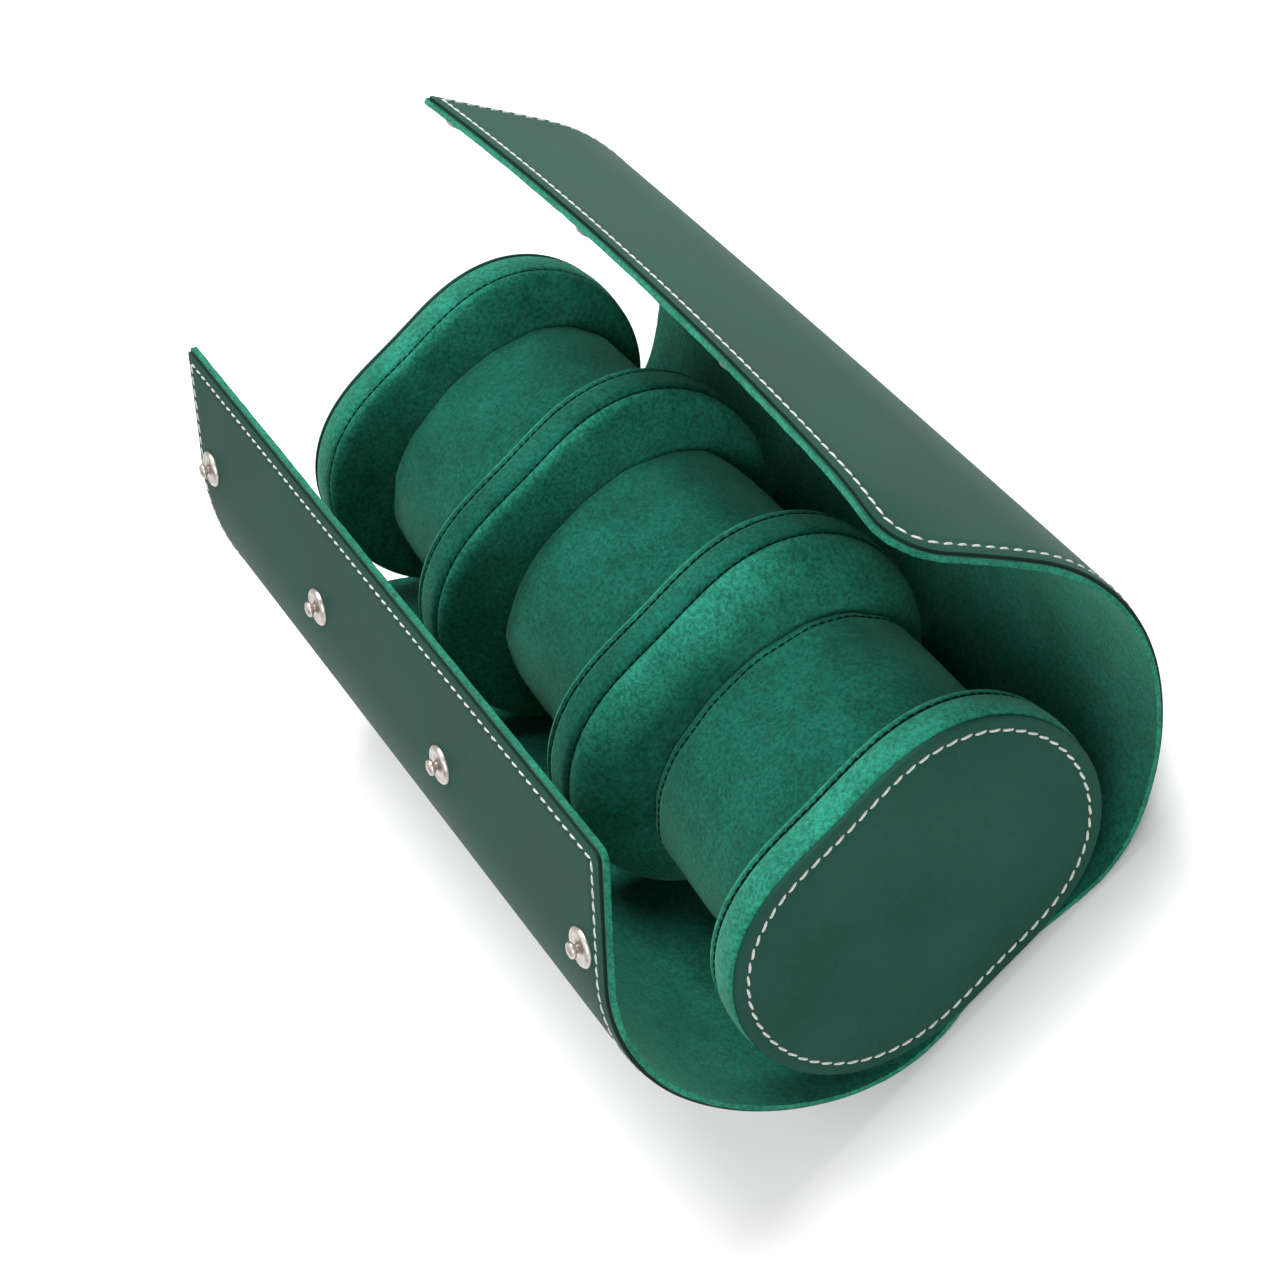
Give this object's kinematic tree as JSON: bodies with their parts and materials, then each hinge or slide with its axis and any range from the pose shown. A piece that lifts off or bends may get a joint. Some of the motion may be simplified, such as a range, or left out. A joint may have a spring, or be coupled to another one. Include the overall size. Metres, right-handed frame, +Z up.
{
  "type": "travel watch roll",
  "caption": "Rolled leather travel case for watches, lined with suede, with padded dividers, lift-out watch pillows and snap closures; the wrap stands open and folds shut.",
  "frame": {"origin": "on the flat underside of the wrap, straight below the centre of the insert's end discs and half way along the roll", "axes": "+X along the roll, +Z up, and the flap with the studs is at -Y"},
  "size_m": [0.23, 0.1381, 0.114],
  "materials": {
    "leather": "fine grain, satin",
    "suede": "matte nap",
    "foam": "matte",
    "board": "matte fibreboard",
    "metal": "polished nickel plate"
  },
  "bodies": {
    "base": {"leather_floor": "leather", "lining_floor": "suede", "left_end_leather": "leather", "left_end_core": "board", "left_end_band": "suede", "left_end_facing": "suede", "left_divider_core": "board", "left_divider_band": "suede", "left_divider_left_facing": "suede", "left_divider_right_facing": "suede", "right_end_leather": "leather", "right_end_core": "board", "right_end_band": "suede", "right_end_facing": "suede", "right_divider_core": "board", "right_divider_band": "suede", "right_divider_left_facing": "suede", "right_divider_right_facing": "suede"},
    "front_lower": {"leather_front_lower": "leather", "lining_front_lower": "suede"},
    "front_middle": {"leather_front_middle": "leather", "lining_front_middle": "suede"},
    "front_flap": {"leather_front_flap": "leather", "lining_front_flap": "suede", "snap_stud_1": "metal", "snap_stud_rivet_1": "metal", "snap_stud_2": "metal", "snap_stud_rivet_2": "metal", "snap_stud_3": "metal", "snap_stud_rivet_3": "metal", "snap_stud_4": "metal", "snap_stud_rivet_4": "metal"},
    "back_lower": {"leather_back_lower": "leather", "lining_back_lower": "suede"},
    "back_middle": {"leather_back_middle": "leather", "lining_back_middle": "suede"},
    "back_flap": {"leather_back_flap": "leather", "lining_back_flap": "suede", "snap_socket_1": "metal", "snap_socket_rivet_1": "metal", "snap_socket_2": "metal", "snap_socket_rivet_2": "metal", "snap_socket_3": "metal", "snap_socket_rivet_3": "metal", "snap_socket_4": "metal", "snap_socket_rivet_4": "metal"},
    "left_pillow": {"left_pillow_core": "foam", "left_pillow_cover": "suede", "left_pillow_left_end": "suede", "left_pillow_right_end": "suede"},
    "middle_pillow": {"middle_pillow_core": "foam", "middle_pillow_cover": "suede", "middle_pillow_left_end": "suede", "middle_pillow_right_end": "suede"},
    "right_pillow": {"right_pillow_core": "foam", "right_pillow_cover": "suede", "right_pillow_left_end": "suede", "right_pillow_right_end": "suede"}
  },
  "joints": [
    {"name": "front_lower_crease", "type": "hinge", "parent": "base", "child": "front_lower", "pos_m": [0, -0.03692, 0.00713], "axis": [1, 0, 0], "range_deg": [-17.6, 36]},
    {"name": "front_middle_crease", "type": "hinge", "parent": "front_lower", "child": "front_middle", "pos_m": [0, -0.05994, 0.03653], "axis": [1, 0, 0], "range_deg": [-17.6, 36]},
    {"name": "front_flap_crease", "type": "hinge", "parent": "front_middle", "child": "front_flap", "pos_m": [0, -0.06228, 0.06796], "axis": [1, 0, 0], "range_deg": [-17.6, 36]},
    {"name": "back_lower_crease", "type": "hinge", "parent": "base", "child": "back_lower", "pos_m": [0, 0.03773, 0.00337], "axis": [-1, 0, 0], "range_deg": [-20.3, 36]},
    {"name": "back_middle_crease", "type": "hinge", "parent": "back_lower", "child": "back_middle", "pos_m": [0, 0.06153, 0.02412], "axis": [-1, 0, 0], "range_deg": [-20.3, 36]},
    {"name": "back_flap_crease", "type": "hinge", "parent": "back_middle", "child": "back_flap", "pos_m": [0, 0.06334, 0.08629], "axis": [-1, 0, 0], "range_deg": [-20.3, 36]},
    {"name": "left_pillow_lift", "type": "slide", "parent": "base", "child": "left_pillow", "axis": [0, 0.1045, 0.9945], "range_m": [0, 0.09]},
    {"name": "middle_pillow_lift", "type": "slide", "parent": "base", "child": "middle_pillow", "axis": [0, 0.1045, 0.9945], "range_m": [0, 0.09]},
    {"name": "right_pillow_lift", "type": "slide", "parent": "base", "child": "right_pillow", "axis": [0, 0.1045, 0.9945], "range_m": [0, 0.09]}
  ],
  "couplings": [
    {"joint": "front_middle_crease", "follows": "front_lower_crease", "ratio": 1},
    {"joint": "front_flap_crease", "follows": "front_lower_crease", "ratio": 1},
    {"joint": "back_middle_crease", "follows": "back_lower_crease", "ratio": 1},
    {"joint": "back_flap_crease", "follows": "back_lower_crease", "ratio": 1}
  ]
}
